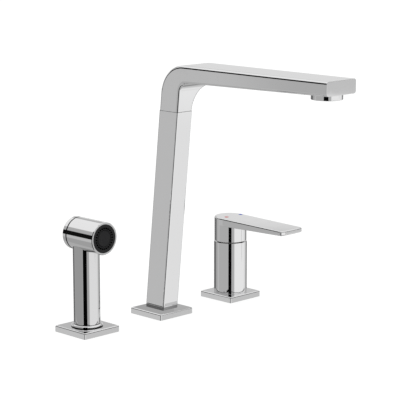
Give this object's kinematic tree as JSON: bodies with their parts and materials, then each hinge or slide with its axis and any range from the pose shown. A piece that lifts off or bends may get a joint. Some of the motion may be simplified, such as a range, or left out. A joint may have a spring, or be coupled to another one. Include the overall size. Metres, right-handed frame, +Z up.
{
  "type": "side spray kitchen faucet",
  "caption": "Deck-mounted kitchen faucet in separate stations: a hand spray in a holder ring, a swivelling square column spout and a single-lever mixer valve, each on a square plate.",
  "frame": {"origin": "middle of the spout's deck hole, level with the deck's top face", "axes": "+Z up; +X along the row of holes from the spout to the lever valve; -Y towards the user, along the spout"},
  "size_m": [0.274, 0.279, 0.3303],
  "materials": {
    "chrome": "polished",
    "brass": "satin",
    "steel": "satin",
    "rubber": "matte",
    "black_plastic": "matte",
    "pale_plastic": "matte",
    "ceramic": "gloss",
    "hot_red": "gloss",
    "cold_blue": "gloss"
  },
  "bodies": {
    "root": {"spray_plate": "chrome", "spray_plate_seal": "rubber", "spray_sleeve": "chrome", "spray_liner": "black_plastic", "spray_rubber_washer": "rubber", "spray_steel_washer": "steel", "spray_nut": "brass", "spout_plate": "chrome", "spout_plate_seal": "rubber", "spout_shank": "brass", "spout_rubber_washer": "rubber", "spout_steel_washer": "steel", "spout_nut": "brass", "spout_o_rings": "rubber", "diverter_body": "brass", "valve_plate": "chrome", "valve_plate_seal": "rubber", "valve_shank": "brass", "valve_body": "chrome", "valve_rubber_washer": "rubber", "valve_steel_washer": "steel", "valve_nut": "brass", "cartridge_housing": "pale_plastic", "cartridge_seals": "rubber", "fixed_disc": "ceramic", "cartridge_nut": "brass"},
    "hose_end": {"hose_nipple": "brass"},
    "handset": {"handset_tail": "black_plastic", "handset_check_valve": "pale_plastic", "handset_tube": "pale_plastic", "handset_handle": "chrome", "spray_head": "chrome", "spray_face": "black_plastic", "spray_valve_cage": "black_plastic", "rear_collar": "black_plastic", "button_spring": "steel"},
    "button": {"spray_button": "chrome", "valve_plunger": "black_plastic"},
    "diverter": {"diverter_piston": "pale_plastic"},
    "spout": {"spout_foot": "black_plastic", "spout_socket": "brass", "swivel_bush": "black_plastic", "spout_grub_screw": "steel", "spout_column": "chrome", "spout_coupler": "brass", "spout_arm": "chrome", "spout_water_tube": "pale_plastic", "aerator_socket": "brass", "aerator_seal": "rubber", "aerator_housing": "chrome", "aerator_core": "pale_plastic"},
    "turner": {"cartridge_rotor": "pale_plastic", "pivot_pin": "steel"},
    "disc": {"moving_disc": "ceramic"},
    "lever": {"lever_handle": "chrome", "cartridge_stem": "steel", "lever_grub_screw": "steel", "hot_mark": "hot_red", "cold_mark": "cold_blue"}
  },
  "joints": [
    {"name": "spout_swivel", "type": "hinge", "parent": "root", "child": "spout", "pos_m": [0, 0, 0.025], "axis": [0, 0, 1], "range_deg": [-60, 60]},
    {"name": "lever_turn", "type": "hinge", "parent": "root", "child": "turner", "pos_m": [0.112, 0, 0.078], "axis": [0, 0, 1], "range_deg": [-45, 45]},
    {"name": "lever_tilt", "type": "hinge", "parent": "turner", "child": "lever", "pos_m": [0.112, 0, 0.078], "axis": [-1, 0, 0], "range_deg": [0, 25]},
    {"name": "disc_slide", "type": "slide", "parent": "turner", "child": "disc", "axis": [0, -1, 0], "range_m": [0, 0.0031]},
    {"name": "handset_lift", "type": "slide", "parent": "root", "child": "hose_end", "axis": [0, 0, 1], "range_m": [0, 0.2]},
    {"name": "handset_turn", "type": "hinge", "parent": "hose_end", "child": "handset", "pos_m": [-0.112, 0, 0], "axis": [0, 0, 1], "continuous": true},
    {"name": "spray_press", "type": "slide", "parent": "handset", "child": "button", "axis": [0, -1, 0], "range_m": [0, 0.0015], "stiffness_N_per_m": 500, "springref_m": -0.001, "deforming": ["button_spring"]},
    {"name": "diverter_lift", "type": "slide", "parent": "root", "child": "diverter", "axis": [0, 0, 1], "range_m": [0, 0.004]}
  ],
  "couplings": [
    {"joint": "disc_slide", "follows": "lever_tilt", "m_per_rad": 0.007}
  ]
}
